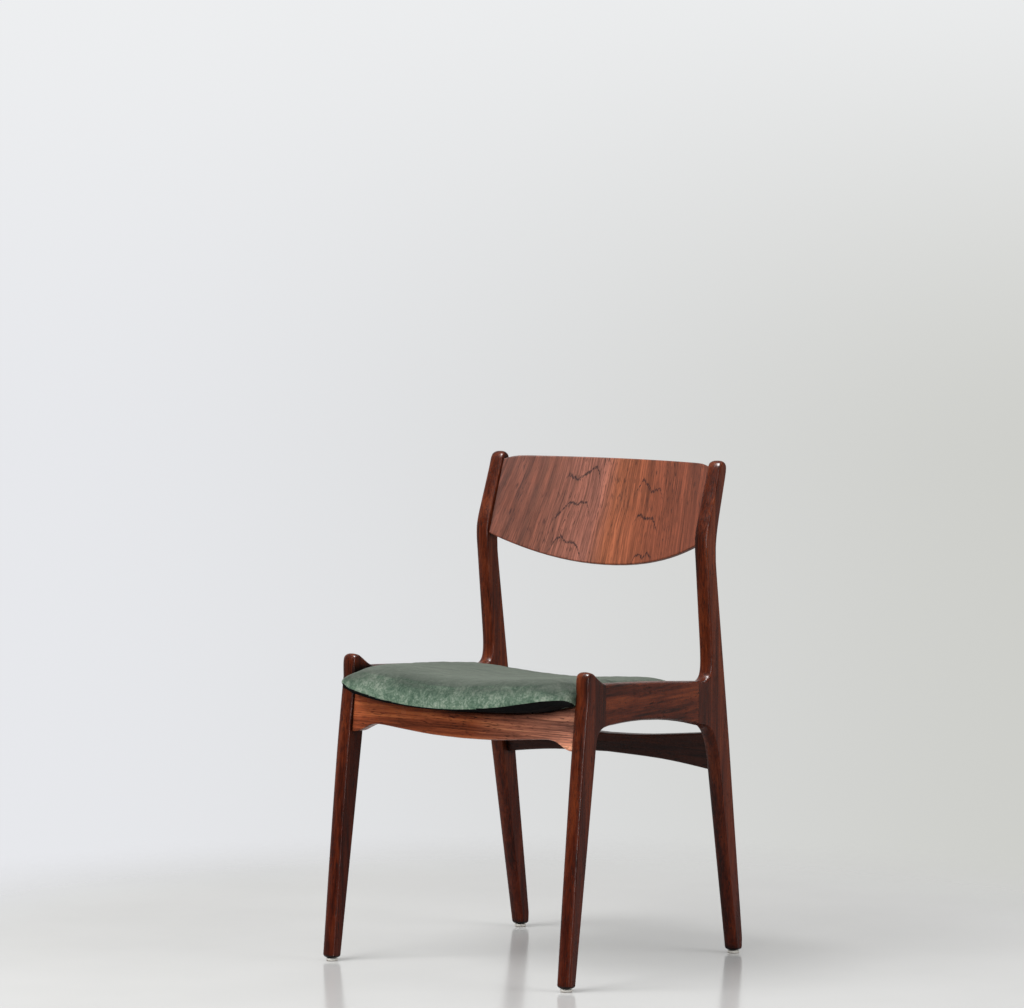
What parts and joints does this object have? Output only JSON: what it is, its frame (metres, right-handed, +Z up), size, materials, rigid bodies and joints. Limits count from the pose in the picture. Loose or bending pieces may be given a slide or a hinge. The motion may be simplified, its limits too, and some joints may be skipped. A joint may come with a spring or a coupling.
{
  "type": "dining chair",
  "caption": "Wooden dining chair with shaped side frames that toe in to the back, a curved veneered backrest panel and a dished, upholstered velvet seat pad.",
  "frame": {"origin": "on the floor, under the middle of the chair's bounding box", "axes": "+Z up, the chair faces -Y, +X towards the sitter's left"},
  "size_m": [0.488, 0.5057, 0.7899],
  "materials": {
    "hardwood": "oiled, satin, dark reddish brown with open pores",
    "veneer": "oiled, satin, flamed orange-brown veneer",
    "plywood": "raw, matt",
    "dowel_wood": "raw beech, matt",
    "velvet": "sage green velvet, soft sheen",
    "foam": "open-cell foam, matt",
    "nylon": "off-white, slightly worn",
    "steel": "plain"
  },
  "bodies": {
    "root": {"front_leg_left": "hardwood", "side_rail_left": "hardwood", "rear_leg_left": "hardwood", "seat_cleat_left": "hardwood", "front_leg_right": "hardwood", "side_rail_right": "hardwood", "rear_leg_right": "hardwood", "seat_cleat_right": "hardwood", "front_rail": "hardwood", "rear_rail": "hardwood", "backrest_panel": "veneer", "seat_board": "plywood", "seat_foam": "foam", "seat_cover": "velvet", "dowel_side_rail_front_upper_left": "dowel_wood", "dowel_side_rail_front_lower_left": "dowel_wood", "dowel_side_rail_rear_upper_left": "dowel_wood", "dowel_side_rail_rear_lower_left": "dowel_wood", "dowel_front_rail_upper_left": "dowel_wood", "dowel_front_rail_lower_left": "dowel_wood", "dowel_rear_rail_upper_left": "dowel_wood", "dowel_rear_rail_lower_left": "dowel_wood", "cleat_screw_front_left": "steel", "cleat_screw_rear_left": "steel", "seat_screw_front_left": "steel", "seat_screw_rear_left": "steel", "glide_front_left": "nylon", "glide_nail_front_left": "steel", "glide_rear_left": "nylon", "glide_nail_rear_left": "steel", "dowel_side_rail_front_upper_right": "dowel_wood", "dowel_side_rail_front_lower_right": "dowel_wood", "dowel_side_rail_rear_upper_right": "dowel_wood", "dowel_side_rail_rear_lower_right": "dowel_wood", "dowel_front_rail_upper_right": "dowel_wood", "dowel_front_rail_lower_right": "dowel_wood", "dowel_rear_rail_upper_right": "dowel_wood", "dowel_rear_rail_lower_right": "dowel_wood", "cleat_screw_front_right": "steel", "cleat_screw_rear_right": "steel", "seat_screw_front_right": "steel", "seat_screw_rear_right": "steel", "glide_front_right": "nylon", "glide_nail_front_right": "steel", "glide_rear_right": "nylon", "glide_nail_rear_right": "steel"}
  },
  "joints": []
}
